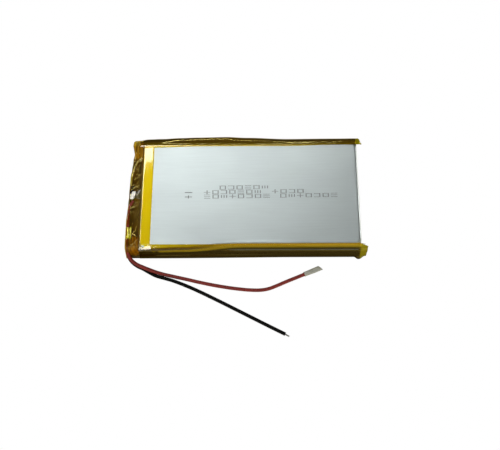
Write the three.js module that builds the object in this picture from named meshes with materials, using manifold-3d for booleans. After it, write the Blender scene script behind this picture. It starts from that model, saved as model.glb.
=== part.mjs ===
// A lithium pouch cell with its protection board and two bare-ended leads, wrapped in polyimide tape.
// Millimetres. +X points to the foot end, +Y to the back, +Z up through the printed face.
// The origin is under the middle of the cell, with the tape ends counted and the free leads left out.
import * as THREE from 'three';
import { mergeVertices } from 'three/addons/utils/BufferGeometryUtils.js';
import Module from 'manifold-3d';

const wasm = await Module();
wasm.setup();

// Overall size
const HALF_LENGTH = 57.4; // to the head tape on one side and the longest tape tail on the other
const HALF_WIDTH = 30;
const THICKNESS = 12;
const GAP = 0.05; // between pieces that touch

// Pouch
const FOOT_X = 53.5; // foot edge of the laminate
const CUP_HEAD_X = -50.8; // head wall of the drawn cup
const TERRACE_X = -54.6; // outer edge of the head seal
const LAMINATE = 0.15;
const RIM_DROP = 0.2; // the rim of each face is this much lower than its middle, and the tape lies in it
const RIM_Z = THICKNESS - RIM_DROP;
const FLANGE_Z = 0.85; // underside of the cup's flange, over the tabs
const SHOULDER_RADIUS = 1.6;
const CUP_CORNER_RADIUS = 3;
const SEAL_HEIGHT = 8; // top of the side seals, which are turned up against the cup
const SEAL_FOOT_X = 52.3; // foot end of the side seals

// Polyimide tape
const TAPE = 0.15;
const TAPE_Y = HALF_WIDTH - TAPE / 2; // middle of the tape on the long sides
const TAPE_GAP = 0.02; // under the tape where it lies on the pouch, and on the surface below
const TAPE_TOP_Z = RIM_Z + TAPE / 2 + TAPE_GAP;
const TAPE_BASE_Z = TAPE / 2 + TAPE_GAP;
const HEAD_LAP_X = -45.25; // edge of the head tape on the face
const HEAD_LAP_FRONT_Y = -28.2; // where that lap ends, over the front shoulder
const HEAD_WRAP_X = -50.85; // where the head tape leaves the cup
const BACK_LAP_Y = 25.2; // edge of the back tape on the face
const BASE_LAP_Y = 25.2;
const BACK_TAIL_X = 56.3;
const TAPE_BEND = 2; // radius of a side tape over the cup's shoulder

const SEAL_Y = HALF_WIDTH - TAPE - GAP; // outer face of the turned-up seals
const SEAL_THICKNESS = 2 * LAMINATE;
const LIP_Y = SEAL_Y - SEAL_THICKNESS - GAP;
const CUP_Y = LIP_Y - LAMINATE;

// Electrode roll, wound flat about the X axis
const HALF_TURNS = 9;
const PITCH = 1.04; // growth of the roll's radius in one turn
const CORE_RADIUS = 0.35;
const ROLL_FLAT = 22.9; // half the straight part of a turn
const ROLL_Z = THICKNESS / 2;
const LAYERS_THICKNESS = 1.01; // of the four layers of one turn
const ROLL_OUTER_RADIUS = CORE_RADIUS + (HALF_TURNS - 1) * PITCH / 2 + LAYERS_THICKNESS;
const CLOSING_TAPE = { thickness: 0.06, gap: 0.03, halfLength: 35, run: 14 };
const LAYERS = [
  { name: 'separator_inner', offset: 0, thickness: 0.12, x0: -49.4, x1: 52.4 },
  { name: 'anode_strip', offset: 0.15, thickness: 0.36, x0: -48.9, x1: 51.9 },
  { name: 'separator_outer', offset: 0.54, thickness: 0.12, x0: -49.4, x1: 52.4 },
  { name: 'cathode_strip', offset: 0.69, thickness: 0.32, x0: -48.4, x1: 51.4 },
];

// Tabs
const TAB = 0.15;
const TAB_WIDTH = 8;
const NEGATIVE_Y = -14;
const POSITIVE_Y = 14;
const TAB_SEAL_Z = 0.6; // height of the tabs in the head seal
const TAB_ROLL_Z = 5.5; // height of the tabs in the core of the roll
const TAB_INNER_X = -38;
const TAB_STEP_X = -50.1; // where the tabs step down from the roll to the seal
const TAB_OUTER_X = -55.1;
const TAB_BOARD_Z = 8.3;
const TAB_END_X = -52.6;
const NICKEL_STRIP_WIDTH = 6;
const TAB_FILM = { x: -54.5, length: 3.5, margin: 1.2, halfHeight: 0.22 };

// Protection board
const BOARD = { x0: -55.3, x1: -51.3, y0: -24, y1: 18, z0: 8.6, z1: 9.4 };
const BOARD_MIDDLE_X = (BOARD.x0 + BOARD.x1) / 2;
const BOARD_CUT = 0.5; // cut off each corner of the board
const CHIP_PART = [1.6, 0.8]; // length and width of the smallest soldered pieces
const WELD_PAD = { x: -53.7, size: [2.4, 6, 0.15] };
const SOLDER_GAP = 0.03; // between the board and what is soldered to it
const SOLDER_JOINT = { radius: 1, height: 0.8 };
const TERRACE_INSULATOR = { x0: -54.7, x1: -51.0, y0: -27, y1: 27, z0: 1.05, z1: 1.3 };
const FOAM_PAD = { x0: -54.7, x1: -51.2, y0: BOARD.y0, y1: BOARD.y1, z0: 1.35, z1: 7.3 };

// Leads
const LEAD_RADIUS = 0.85;
const LEAD_REST_Z = 0.87; // height of a lead's centre where it lies on the surface
const STRAND_RADIUS = 0.35;
const SLEEVE_OUTER_RADIUS = 1.2;
const SLEEVE_INNER_RADIUS = 0.98;
const RED_HELD_ROUTE = [
  [-54.5, -4.6, 10.3], [-55.5, -6.4, 10.3], [-56.1, -9.3, 10.28], [-56.2, -13.4, 10.25],
  [-56.2, -17.4, 10.2], [-56.25, -20.4, 9.85], [-56.3, -23.0, 9.2], [-56.3, -25.4, 8.2],
  [-56.3, -27.3, 7.2], [-56.35, -28.7, 6.1],
];
const BLACK_HELD_ROUTE = [
  [-54.4, 3.4, 10.3], [-55.4, 1.5, 10.3], [-56.05, -1.0, 10.1], [-56.25, -3.3, 9.3],
  [-56.3, -5.4, 8.6], [-56.3, -8.0, 8.38], [-56.3, -13.0, 8.35], [-56.3, -17.4, 8.1],
  [-56.3, -21.0, 7.3], [-56.3, -24.3, 6.05], [-56.3, -26.8, 4.8], [-56.35, -28.6, 3.75],
];
const RED_ROUTE = [
  [-56.35, -29.0, 5.7], [-56.2, -30.3, 4.4], [-55.5, -31.6, 3.4], [-54.2, -33.1, 2.85],
  [-51.9, -34.9, 2.65], [-49.1, -36.3, 2.62], [-46.2, -37.5, 2.45], [-43.0, -38.5, 1.8],
  [-39.4, -39.4, 1.15], [-35.7, -40.2, LEAD_REST_Z], [-28.4, -42.0, LEAD_REST_Z],
  [-22.2, -43.6, LEAD_REST_Z], [-12.6, -45.7, LEAD_REST_Z], [-3.2, -47.2, LEAD_REST_Z],
  [2.2, -47.7, LEAD_REST_Z], [7.0, -47.65, LEAD_REST_Z], [10.2, -47.0, LEAD_REST_Z],
  [13.0, -45.9, LEAD_REST_Z], [18.4, -43.4, 0.9], [23.8, -41.1, 1.1], [26.5, -39.95, 1.22],
  [29.2, -38.76, 1.25],
];
const BLACK_ROUTE = [
  [-56.35, -29.0, 3.4], [-56.1, -30.3, 2.3], [-55.3, -31.7, 1.35], [-54.1, -33.1, 0.92],
  [-51.9, -34.9, LEAD_REST_Z], [-49.1, -36.4, LEAD_REST_Z], [-46.2, -38.2, LEAD_REST_Z],
  [-42.9, -40.05, LEAD_REST_Z], [-39.3, -41.25, LEAD_REST_Z], [-35.6, -42.4, LEAD_REST_Z],
  [-31.8, -43.9, LEAD_REST_Z], [-28.3, -45.45, LEAD_REST_Z], [-23.5, -47.75, LEAD_REST_Z],
  [-14.8, -52.35, LEAD_REST_Z], [-3.1, -58.8, LEAD_REST_Z], [10.7, -66.45, LEAD_REST_Z],
  [17.5, -70.15, LEAD_REST_Z],
];
const RED_STRAND = [[29.5, -38.63, 1.25], [32.6, -37.26, 1.25]];
const BLACK_STRAND = [[17.77, -70.3, LEAD_REST_Z], [19.4, -71.4, LEAD_REST_Z]];
const RED_SLEEVE = [[26.9, -39.77, 1.23], [34.6, -36.38, 1.25]];

// Smoothness of the round shapes
const CORNER_STEPS = 5;
const SHOULDER_STEPS = 4;
const WINDING_STEPS = 8;
const LEAD_SIDES = 8;

const finish = (color, roughness, metalness) => new THREE.MeshStandardMaterial({ color, roughness, metalness });
const FOIL = ['#c3cdd0', 0.35, 0.9];
const AMBER = ['#c79a14', 0.25, 0.0];
const NICKEL = ['#b9b7ae', 0.3, 1.0];
const SOLDER = ['#c9ccd0', 0.25, 1.0];
const RED_PVC = ['#8a2a2a', 0.4, 0.0];
const BLACK_PVC = ['#17171a', 0.4, 0.0];
const CHIP_BLACK = ['#1b1b1d', 0.55, 0.0];
const LAYER_FINISHES = {
  separator_inner: ['#eef0ee', 0.6, 0.0],
  separator_outer: ['#eef0ee', 0.6, 0.0],
  anode_strip: ['#2b2b2e', 0.7, 0.1],
  cathode_strip: ['#3a3633', 0.7, 0.1],
};

const cell = new THREE.Group();

function addPiece(name, geometry, look) {
  const mesh = new THREE.Mesh(geometry, finish(...look));
  mesh.name = name;
  cell.add(mesh);
}

const count = (n) => Array.from({ length: n }, (_, i) => i);

// ---- Shapes ----

// A rectangle with round corners as a ring of points, counter-clockwise from above.
function ring({ x0, x1, y0, y1, r, z }) {
  const corners = [[x1 - r, y1 - r], [x0 + r, y1 - r], [x0 + r, y0 + r], [x1 - r, y0 + r]];
  return corners.flatMap(([x, y], quarter) => count(CORNER_STEPS + 1).map((i) => {
    const angle = (quarter + i / CORNER_STEPS) * Math.PI / 2;
    return [x + r * Math.cos(angle), y + r * Math.sin(angle), z];
  }));
}

// The same rectangle, smaller by d all round, at height z.
const inset = (box, d, z) => ({
  x0: box.x0 + d, x1: box.x1 - d, y0: box.y0 + d, y1: box.y1 - d, r: box.r - d, z,
});

// A closed body through rings with equal numbers of points. The first ring is capped facing down.
function loft(outlines) {
  const rings = outlines.map(ring);
  const size = rings[0].length;
  const first = rings[0];
  const last = rings[rings.length - 1];
  const middle = (points) => [0, 1, 2].map((axis) => points.reduce((sum, p) => sum + p[axis], 0) / size);
  const positions = [...rings.flat(), middle(first), middle(last)].flat();
  const firstMiddle = rings.length * size;
  const lastStart = (rings.length - 1) * size;
  const faces = [];
  for (const i of count(size)) {
    const next = (i + 1) % size;
    for (const level of count(rings.length - 1)) {
      const low = level * size;
      const high = low + size;
      faces.push(low + i, low + next, high + next, low + i, high + next, high + i);
    }
    faces.push(firstMiddle, next, i, firstMiddle + 1, lastStart + i, lastStart + next);
  }
  const geometry = new THREE.BufferGeometry();
  geometry.setAttribute('position', new THREE.Float32BufferAttribute(positions, 3));
  geometry.setIndex(faces);
  geometry.computeVertexNormals();
  return geometry;
}

const shapeOf = (points) => new THREE.Shape(points.map(([u, v]) => new THREE.Vector2(u, v)));

// A prism along X of a shape in Y and Z.
function extrudeAlongX(shape, x0, x1) {
  const geometry = new THREE.ExtrudeGeometry(shape, { depth: x1 - x0, bevelEnabled: false });
  const axes = [new THREE.Vector3(0, 1, 0), new THREE.Vector3(0, 0, 1), new THREE.Vector3(1, 0, 0)];
  return geometry.applyMatrix4(new THREE.Matrix4().makeBasis(...axes)).translate(x0, 0, 0);
}

const prismAlongX = (outline, x0, x1) => extrudeAlongX(shapeOf(outline), x0, x1);

// A prism along Y whose outline is in X and Z.
function prismAlongY(outline, y0, y1) {
  const geometry = new THREE.ExtrudeGeometry(shapeOf(outline), { depth: y1 - y0, bevelEnabled: false });
  return geometry.rotateX(Math.PI / 2).translate(0, y1, 0);
}

// The outline of a strip of even thickness along a bent line.
function stripOutline(line, thickness) {
  const side = (sign) => line.map((point, i) => {
    const before = directionOf(line[Math.max(i - 1, 0)], line[Math.max(i, 1)]);
    const after = directionOf(line[Math.min(i, line.length - 2)], line[Math.min(i + 1, line.length - 1)]);
    const reach = sign * thickness / 2 / (1 + before[0] * after[0] + before[1] * after[1]);
    return [point[0] - reach * (before[1] + after[1]), point[1] + reach * (before[0] + after[0])];
  });
  return [...side(-1), ...side(1).reverse()];
}

function directionOf(from, to) {
  const length = Math.hypot(to[0] - from[0], to[1] - from[1]);
  return [(to[0] - from[0]) / length, (to[1] - from[1]) / length];
}

// Points on an arc from one angle to another, in degrees.
function arc([u, v], radius, from, to, steps) {
  return count(steps + 1).map((i) => {
    const angle = THREE.MathUtils.degToRad(from + (to - from) * i / steps);
    return [u + radius * Math.cos(angle), v + radius * Math.sin(angle)];
  });
}

function block({ x0, x1, y0, y1, z0, z1 }) {
  const geometry = new THREE.BoxGeometry(x1 - x0, y1 - y0, z1 - z0);
  return geometry.translate((x0 + x1) / 2, (y0 + y1) / 2, (z0 + z1) / 2);
}

// A round rod or, with a hole, a sleeve, along a smooth line through the points.
function rod(points, radius, steps, holeRadius = 0) {
  const circle = (r) => arc([0, 0], r, 0, 360 * (1 - 1 / LEAD_SIDES), LEAD_SIDES - 1);
  const shape = shapeOf(circle(radius));
  if (holeRadius > 0) {
    shape.holes.push(shapeOf(circle(holeRadius)));
  }
  const extrudePath = new THREE.CatmullRomCurve3(points.map((p) => new THREE.Vector3(...p)), false, 'centripetal');
  return new THREE.ExtrudeGeometry(shape, { steps, extrudePath, bevelEnabled: false });
}

function toSolid(geometry) {
  const bare = geometry.clone();
  bare.deleteAttribute('normal');
  bare.deleteAttribute('uv');
  const merged = mergeVertices(bare, 1e-4);
  const mesh = new wasm.Mesh({
    numProp: 3,
    vertProperties: new Float32Array(merged.attributes.position.array),
    triVerts: new Uint32Array(merged.index.array),
  });
  return new wasm.Manifold(mesh);
}

// One body from several that overlap.
function join(geometries) {
  const solid = geometries.map(toSolid).reduce((whole, next) => whole.add(next));
  const mesh = solid.getMesh();
  const geometry = new THREE.BufferGeometry();
  geometry.setAttribute('position', new THREE.Float32BufferAttribute(mesh.vertProperties, 3));
  geometry.setIndex(Array.from(mesh.triVerts));
  geometry.computeVertexNormals();
  return geometry;
}

// ---- Pouch ----

// The drawn half of the laminate: a shallow cup with its flange, open underneath.
function pouchCup() {
  const wall = { x0: CUP_HEAD_X, x1: FOOT_X - LAMINATE, y0: -CUP_Y, y1: CUP_Y, r: CUP_CORNER_RADIUS };
  const lip = { x0: TERRACE_X, x1: FOOT_X, y0: -LIP_Y, y1: LIP_Y, r: 1 };
  const panel = { x0: HEAD_LAP_X + 0.25, x1: 51.4, y0: -27.3, y1: BACK_LAP_Y - 0.2, r: 2 };
  const shoulder = (radius) => count(SHOULDER_STEPS + 1).map((i) => {
    const angle = i / SHOULDER_STEPS * Math.PI / 2;
    const d = SHOULDER_RADIUS - radius * Math.cos(angle);
    return inset(wall, d, RIM_Z - SHOULDER_RADIUS + radius * Math.sin(angle));
  });
  const inside = [
    inset(wall, LAMINATE, FLANGE_Z),
    ...shoulder(SHOULDER_RADIUS - LAMINATE),
    { ...panel, z: RIM_Z - LAMINATE },
    inset(panel, 0.3, THICKNESS - LAMINATE),
  ];
  const outside = [
    { ...lip, z: FLANGE_Z },
    { ...lip, z: FLANGE_Z + LAMINATE },
    { ...wall, z: FLANGE_Z + LAMINATE },
    ...shoulder(SHOULDER_RADIUS),
    { ...panel, z: RIM_Z },
    inset(panel, 0.3, THICKNESS),
  ];
  return loft([...inside.reverse(), ...outside]);
}

// The flat half of the laminate, with its two long seals turned up.
function pouchBackSheet() {
  const outline = { x0: TERRACE_X, x1: FOOT_X, y0: -SEAL_Y, y1: SEAL_Y, r: 1 };
  const panel = { x0: HEAD_LAP_X + 0.25, x1: 52, y0: -BASE_LAP_Y + 0.2, y1: BASE_LAP_Y - 0.2, r: 2 };
  const sheet = loft([
    inset(panel, 0.3, 0),
    { ...panel, z: RIM_DROP },
    { ...outline, z: RIM_DROP },
    { ...outline, z: RIM_DROP + LAMINATE },
    { ...panel, z: RIM_DROP + LAMINATE },
    inset(panel, 0.3, LAMINATE),
  ]);
  const inner = SEAL_Y - SEAL_THICKNESS;
  const seals = [[-SEAL_Y, -inner], [inner, SEAL_Y]].map(([y0, y1]) =>
    block({ x0: CUP_HEAD_X, x1: SEAL_FOOT_X, y0, y1, z0: RIM_DROP, z1: SEAL_HEIGHT }));
  return join([sheet, ...seals]);
}

// ---- Electrode roll ----

// A line of half circles joined by straight runs: every half turn starts where the last one ended.
function windingEdge(offset) {
  return count(HALF_TURNS).flatMap((k) => {
    const right = k % 2 === 0;
    const centre = [right ? ROLL_FLAT : -ROLL_FLAT, right ? 0 : -PITCH / 2];
    const radius = CORE_RADIUS + k * PITCH / 2 + offset;
    return arc(centre, radius, -90 + 180 * k, 90 + 180 * k, WINDING_STEPS);
  });
}

function addRoll() {
  const centred = ([y, z]) => [y - PITCH / 4, z + ROLL_Z];
  for (const { name, offset, thickness, x0, x1 } of LAYERS) {
    const outline = [...windingEdge(offset), ...windingEdge(offset + thickness).reverse()].map(centred);
    addPiece(name, prismAlongX(outline, x0, x1), LAYER_FINISHES[name]);
  }
  const { thickness, gap, halfLength, run } = CLOSING_TAPE;
  const radius = ROLL_OUTER_RADIUS + gap + thickness / 2;
  const line = [...arc([ROLL_FLAT, 0], radius, -67.5, 90, WINDING_STEPS - 1), [ROLL_FLAT - run, radius]];
  const outline = stripOutline(line.map(centred), thickness);
  addPiece('roll_closing_tape', prismAlongX(outline, -halfLength, halfLength), ['#2f8f6b', 0.4, 0.0]);
}

// ---- Tabs ----

const tabPrism = (line, y, width = TAB_WIDTH) =>
  prismAlongY(stripOutline(line, TAB), y - width / 2, y + width / 2);

function addTabs() {
  const insideRun = [
    [TAB_INNER_X, TAB_ROLL_Z], [TAB_STEP_X, TAB_ROLL_Z], [TAB_STEP_X, TAB_SEAL_Z], [TAB_OUTER_X, TAB_SEAL_Z],
  ];
  const overBoardEdge = [[TAB_OUTER_X, TAB_BOARD_Z], [TAB_END_X, TAB_BOARD_Z]];
  addPiece('negative_tab', tabPrism([...insideRun, ...overBoardEdge], NEGATIVE_Y), NICKEL);
  addPiece('positive_tab', tabPrism([...insideRun, [TAB_OUTER_X, 4.6]], POSITIVE_Y), ['#d4d6d8', 0.3, 1.0]);
  const strip = [[TAB_OUTER_X - 0.2, 1.6], [TAB_OUTER_X - 0.2, TAB_BOARD_Z], [TAB_END_X, TAB_BOARD_Z]];
  addPiece('positive_nickel_strip', tabPrism(strip, POSITIVE_Y, NICKEL_STRIP_WIDTH), NICKEL);
  for (const [name, y] of [['negative_tab_film', NEGATIVE_Y], ['positive_tab_film', POSITIVE_Y]]) {
    addPiece(name, tabFilm(y), ['#e8e4d8', 0.5, 0.0]);
  }
}

// The sealing film round a tab where it passes through the head seal.
function tabFilm(y) {
  const frame = (halfWidth, halfHeight) => shapeOf([
    [y - halfWidth, TAB_SEAL_Z - halfHeight], [y + halfWidth, TAB_SEAL_Z - halfHeight],
    [y + halfWidth, TAB_SEAL_Z + halfHeight], [y - halfWidth, TAB_SEAL_Z + halfHeight],
  ]);
  const { x, length, margin, halfHeight } = TAB_FILM;
  const shape = frame(TAB_WIDTH / 2 + margin, halfHeight);
  shape.holes.push(frame(TAB_WIDTH / 2 + GAP, TAB / 2 + GAP / 2));
  return extrudeAlongX(shape, x, x + length);
}

// ---- Protection board ----

// A plate with cut corners.
function boardPlate() {
  const { x0, x1, y0, y1, z0, z1 } = BOARD;
  const cut = BOARD_CUT;
  const outline = [
    [x0 + cut, y0], [x1 - cut, y0], [x1, y0 + cut], [x1, y1 - cut],
    [x1 - cut, y1], [x0 + cut, y1], [x0, y1 - cut], [x0, y0 + cut],
  ];
  return new THREE.ExtrudeGeometry(shapeOf(outline), { depth: z1 - z0, bevelEnabled: false }).translate(0, 0, z0);
}

// A piece soldered under the board, by its centre, its size along X and Y, and its height.
function underBoard([x, y], [length, width, height]) {
  const z1 = BOARD.z0 - SOLDER_GAP;
  const [halfLength, halfWidth] = [length / 2, width / 2];
  return block({
    x0: x - halfLength, x1: x + halfLength, y0: y - halfWidth, y1: y + halfWidth, z0: z1 - height, z1,
  });
}

// A dome of solder on the board.
function solderJoint(x, y) {
  const { radius, height } = SOLDER_JOINT;
  const dome = arc([0, 0], 1, 0, 90, 4).slice(0, -1).map(([r, h]) => new THREE.Vector2(r * radius, h * height));
  const profile = [new THREE.Vector2(0, 0), ...dome, new THREE.Vector2(0, height)];
  return new THREE.LatheGeometry(profile, 12).rotateX(Math.PI / 2).translate(x, y, BOARD.z1 + SOLDER_GAP);
}

function addBoard() {
  const mosfet = { size: [3.0, 4.4, 1.0], look: CHIP_BLACK };
  const chip = { size: [1.6, 2.9, 1.0], look: CHIP_BLACK };
  const resistor = { size: [...CHIP_PART, 0.45], look: CHIP_BLACK };
  const capacitor = { size: [...CHIP_PART, 0.8], look: ['#8a6a45', 0.5, 0.0] };
  const parts = [
    ['mosfet_1', -2.6, mosfet], ['mosfet_2', 2.6, mosfet], ['protection_chip', 7.4, chip],
    ['resistor_1', -6.4, resistor], ['resistor_2', -19.6, resistor],
    ['capacitor_1', -8.2, capacitor], ['capacitor_2', -21.6, capacitor],
  ];
  addPiece('protection_board', boardPlate(), ['#1f3a22', 0.5, 0.0]);
  for (const [name, y, { size, look }] of parts) {
    addPiece(name, underBoard([BOARD_MIDDLE_X, y], size), look);
  }
  addPiece('negative_weld_pad', underBoard([WELD_PAD.x, NEGATIVE_Y], WELD_PAD.size), NICKEL);
  addPiece('positive_weld_pad', underBoard([WELD_PAD.x, POSITIVE_Y], WELD_PAD.size), NICKEL);
  addPiece('terrace_insulator', block(TERRACE_INSULATOR), ['#d8cfa8', 0.9, 0.0]);
  addPiece('foam_pad', block(FOAM_PAD), ['#e9e9e4', 0.9, 0.0]);
  addPiece('red_solder_joint', solderJoint(-53.3, -3.6), SOLDER);
  addPiece('black_solder_joint', solderJoint(-53.2, 4.4), SOLDER);
}

// ---- Tape ----

// The head tape: from the face over the board and the leads, down to the base and under it.
function headTape() {
  const [leadX, leadZ] = [-56.35, 10.3];
  const bend = HALF_LENGTH - TAPE / 2 + leadX;
  const start = [HEAD_WRAP_X, TAPE_TOP_Z];
  const end = [HEAD_WRAP_X, TAPE_BASE_Z];
  const line = [start, ...arc([leadX, leadZ], bend, 90, 180, 5), [leadX - bend, 2.2], [-56, TAPE_BASE_Z], end];
  const frontEnd = [start, [-55.3, 11.4], [-55.3, TAPE_BASE_Z], end];
  const lap = (y0, y1, z) => block({
    x0: HEAD_WRAP_X - TAPE, x1: HEAD_LAP_X, y0, y1, z0: z - TAPE / 2, z1: z + TAPE / 2,
  });
  return join([
    prismAlongY(stripOutline(line, TAPE), TAPE / 2 - HALF_WIDTH, HALF_WIDTH),
    prismAlongY(line, HALF_WIDTH - TAPE, HALF_WIDTH),
    prismAlongY(frontEnd, -HALF_WIDTH, TAPE - HALF_WIDTH),
    lap(HEAD_LAP_FRONT_Y, BACK_LAP_Y - 2 * GAP, TAPE_TOP_Z),
    lap(-BASE_LAP_Y + 2 * GAP, BASE_LAP_Y - 2 * GAP, TAPE_BASE_Z),
  ]);
}

// A side tape's line round the cup's shoulder, down the side and under the base, for the back.
function sideTapeLine(shoulderPoints) {
  return [...shoulderPoints, [TAPE_Y, TAPE_BASE_Z], [BASE_LAP_Y, TAPE_BASE_Z]];
}

function addTapes() {
  const bendCentre = [TAPE_Y - TAPE_BEND, TAPE_TOP_Z - TAPE_BEND];
  const backLine = sideTapeLine([[BACK_LAP_Y, TAPE_TOP_Z], ...arc(bendCentre, TAPE_BEND, 90, 0, 5)]);
  const frontLine = sideTapeLine(arc(bendCentre, TAPE_BEND, 45, 0, 3)).map(([y, z]) => [-y, z]);
  addPiece('head_tape', headTape(), AMBER);
  addPiece('back_tape', prismAlongX(stripOutline(backLine, TAPE), CUP_HEAD_X, BACK_TAIL_X), AMBER);
  const front = stripOutline(frontLine, TAPE).reverse();
  addPiece('front_tape', prismAlongX(front, CUP_HEAD_X, HALF_LENGTH), AMBER);
}

// ---- Leads ----

function addLeads() {
  addPiece('red_lead_held', rod(RED_HELD_ROUTE, LEAD_RADIUS, 12), RED_PVC);
  addPiece('black_lead_held', rod(BLACK_HELD_ROUTE, LEAD_RADIUS, 14), BLACK_PVC);
  addPiece('red_lead', rod(RED_ROUTE, LEAD_RADIUS, 36), RED_PVC);
  addPiece('black_lead', rod(BLACK_ROUTE, LEAD_RADIUS, 32), BLACK_PVC);
  addPiece('red_lead_strands', rod(RED_STRAND, STRAND_RADIUS, 1), SOLDER);
  addPiece('black_lead_strands', rod(BLACK_STRAND, STRAND_RADIUS, 1), SOLDER);
  addPiece('red_lead_sleeve', rod(RED_SLEEVE, SLEEVE_OUTER_RADIUS, 1, SLEEVE_INNER_RADIUS), ['#9a9d94', 0.3, 0.0]);
}

addPiece('pouch_cup', pouchCup(), FOIL);
addPiece('pouch_back_sheet', pouchBackSheet(), FOIL);
addRoll();
addTabs();
addBoard();
addTapes();
addLeads();

export default cell;
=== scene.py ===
"""A lithium pouch cell wrapped in polyimide tape, with a red and a black lead, on a plain pale floor.

Lists of points and sizes are in millimetres, in the frame of the CAD model, and every mesh and curve is
scaled to metres as it is made. +X points to the foot end, +Y to the back and +Z up through the face.
"""
import math

import bpy
from mathutils import Matrix, Vector, geometry, noise


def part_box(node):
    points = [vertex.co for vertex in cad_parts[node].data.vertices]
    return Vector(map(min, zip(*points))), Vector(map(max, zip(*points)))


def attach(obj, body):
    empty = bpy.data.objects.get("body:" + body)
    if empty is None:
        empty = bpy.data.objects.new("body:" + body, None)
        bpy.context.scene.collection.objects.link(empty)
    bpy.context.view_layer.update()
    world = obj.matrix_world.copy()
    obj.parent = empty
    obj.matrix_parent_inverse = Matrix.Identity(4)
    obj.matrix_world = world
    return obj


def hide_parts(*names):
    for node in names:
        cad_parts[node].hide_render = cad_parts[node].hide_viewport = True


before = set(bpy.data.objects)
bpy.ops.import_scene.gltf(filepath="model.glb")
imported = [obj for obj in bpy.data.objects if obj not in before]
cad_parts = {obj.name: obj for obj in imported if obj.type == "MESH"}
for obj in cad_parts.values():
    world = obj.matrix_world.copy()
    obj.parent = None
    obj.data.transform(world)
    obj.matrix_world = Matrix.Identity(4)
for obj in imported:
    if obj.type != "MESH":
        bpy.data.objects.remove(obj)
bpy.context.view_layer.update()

MM = 0.001
BODY = "root"


def box_mm(node):
    """The lowest and highest corner of a CAD node, in millimetres."""
    low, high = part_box(node)
    return low / MM, high / MM


# ---- Sizes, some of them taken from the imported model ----

CUP_LOW, CUP_HIGH = box_mm("pouch_cup")
BACK_TAPE_LOW, BACK_TAPE_HIGH = box_mm("back_tape")
HEAD_LAP_X = box_mm("head_tape")[1].x

LAMINATE = 0.15  # thickness
FACE_Z = CUP_HIGH.z
CUP_CORNER, FACE_CORNER = 3.0, 1.8
# How far the cup's upper edge is rounded, across and down, on each side.
BACK_SHOULDER = (3.5, 2.6)
FRONT_SHOULDER = (1.1, 5.0)
HEAD_SHOULDER = (1.2, 1.4)
FOOT_SHOULDER = (0.7, 0.9)
FOOT_BULGE = 0.35  # how far the foot wall stands out
CUP_HEAD_X = BACK_TAPE_LOW.x
CUP_FOOT_X = CUP_HIGH.x - LAMINATE
CUP_Y = CUP_HIGH.y - LAMINATE
TAPE = 0.08  # thickness
LAP_Z = FACE_Z + 0.1  # outer side of the tape where it lies on the face
BASE_LAP_Z = 0.09  # the same under the base

LEAD_REST_Z = 0.87  # middle of a lead that lies on the surface
LEAD_DIAMETER = 1.7

# The leads' routes, close to the CAD model's: held under the head tape, then free.
RED_HELD_ROUTE = [
    (-54.5, -4.6, 10.3), (-55.4, -6.4, 10.3), (-55.95, -9.3, 10.28), (-56.2, -13.4, 10.25),
    (-56.2, -17.4, 10.2), (-56.25, -20.4, 9.85), (-56.3, -23.0, 9.2), (-56.3, -25.4, 8.2),
    (-56.3, -27.3, 7.2), (-56.35, -28.7, 6.1), (-56.35, -29.0, 5.7),
]
BLACK_HELD_ROUTE = [
    (-54.4, 3.4, 10.3), (-55.2, 1.5, 10.3), (-55.6, -1.0, 10.1), (-55.7, -3.3, 9.3),
    (-55.8, -5.4, 8.6), (-56.0, -8.0, 8.38), (-56.25, -13.0, 8.35), (-56.3, -17.4, 8.1),
    (-56.3, -21.0, 7.3), (-56.3, -24.3, 6.05), (-56.3, -26.8, 4.8), (-56.35, -28.6, 3.75),
    (-56.35, -29.0, 3.4),
]
RED_ROUTE = [
    (-56.35, -29.0, 5.7), (-56.2, -30.02, 4.4), (-55.5, -31.32, 3.4), (-54.2, -32.82, 2.85),
    (-51.9, -34.62, 2.65), (-49.1, -36.02, 2.62), (-46.2, -37.22, 2.45), (-43.0, -38.22, 1.8),
    (-39.4, -39.12, 1.15), (-35.7, -39.92, LEAD_REST_Z), (-28.4, -41.72, LEAD_REST_Z),
    (-22.2, -43.32, LEAD_REST_Z), (-12.6, -45.42, LEAD_REST_Z), (-3.2, -46.92, LEAD_REST_Z),
    (2.2, -47.42, LEAD_REST_Z), (7.0, -47.37, LEAD_REST_Z), (10.2, -46.72, LEAD_REST_Z),
    (13.0, -45.62, LEAD_REST_Z), (18.4, -43.12, 0.9), (23.8, -40.82, 1.1), (26.5, -39.67, 1.22),
    (29.2, -38.48, 1.25),
]
BLACK_ROUTE = [
    (-56.35, -29.0, 3.4), (-56.1, -30.02, 2.3), (-55.3, -31.42, 1.35), (-54.1, -32.82, 0.92),
    (-51.9, -34.62, LEAD_REST_Z), (-49.1, -36.12, LEAD_REST_Z), (-46.2, -37.92, LEAD_REST_Z),
    (-42.9, -39.77, LEAD_REST_Z), (-39.3, -40.97, LEAD_REST_Z), (-35.6, -42.12, LEAD_REST_Z),
    (-31.8, -43.62, LEAD_REST_Z), (-28.3, -45.17, LEAD_REST_Z), (-23.5, -47.47, LEAD_REST_Z),
    (-14.8, -52.07, LEAD_REST_Z), (-3.1, -58.52, LEAD_REST_Z), (10.7, -66.17, LEAD_REST_Z),
    (17.5, -69.87, LEAD_REST_Z),
]
RED_STRAND = [(28.9, -38.62, 1.25), (32.6, -36.98, 1.25)]
BLACK_STRAND = [(17.2, -69.71, LEAD_REST_Z), (19.4, -71.12, LEAD_REST_Z)]
RED_SLEEVE = [(26.9, -39.49, 1.23), (34.6, -36.1, 1.25)]


# ---- Numbers ----

def mix(a, b, share):
    return a + (b - a) * share


def smoothstep(low, high, value):
    share = min(max((value - low) / (high - low), 0.0), 1.0)
    return share * share * (3 - 2 * share)


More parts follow.
